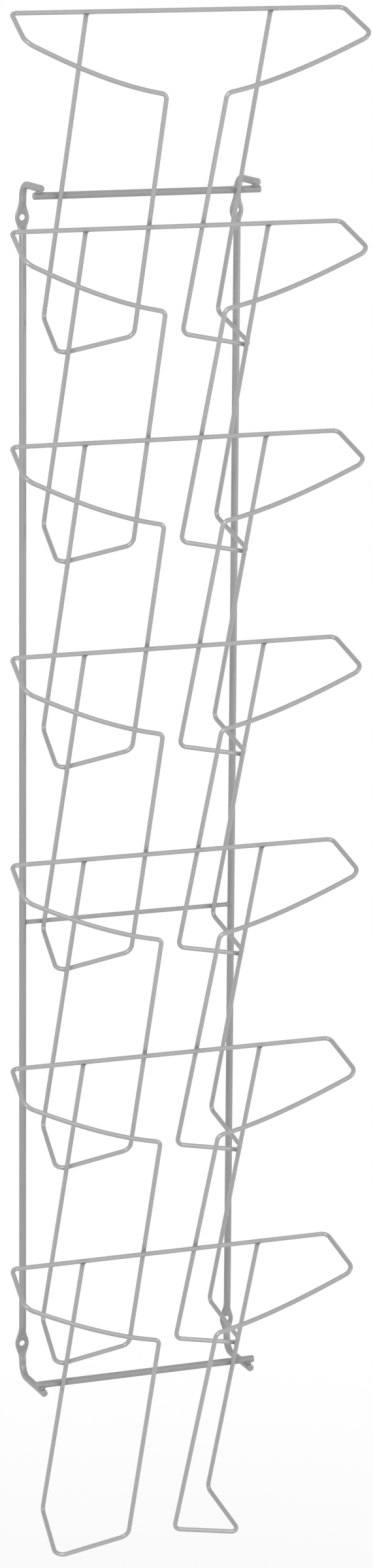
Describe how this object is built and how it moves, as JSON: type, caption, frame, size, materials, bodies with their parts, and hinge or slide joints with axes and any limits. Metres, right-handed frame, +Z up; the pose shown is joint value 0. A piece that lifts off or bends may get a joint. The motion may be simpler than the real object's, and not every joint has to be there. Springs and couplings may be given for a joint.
{
  "type": "periodical display rack",
  "caption": "Wall rack of bent steel wire with a column of sloping open pockets that show periodicals one above another.",
  "frame": {"origin": "on the wall plane, midway between the two upper screw eyes", "axes": "+Z up along the uprights, +Y into the wall, so the rack faces -Y; +X to the viewer's right"},
  "size_m": [0.2496, 0.1305, 1.1021],
  "materials": {
    "silver_coat": "satin"
  },
  "bodies": {
    "root": {"left_upright": "silver_coat", "right_upright": "silver_coat", "top_bar": "silver_coat", "middle_bar": "silver_coat", "bottom_bar": "silver_coat", "pocket_1": "silver_coat", "pocket_2": "silver_coat", "pocket_3": "silver_coat", "pocket_4": "silver_coat", "pocket_5": "silver_coat", "pocket_6": "silver_coat", "pocket_7": "silver_coat"}
  },
  "joints": []
}
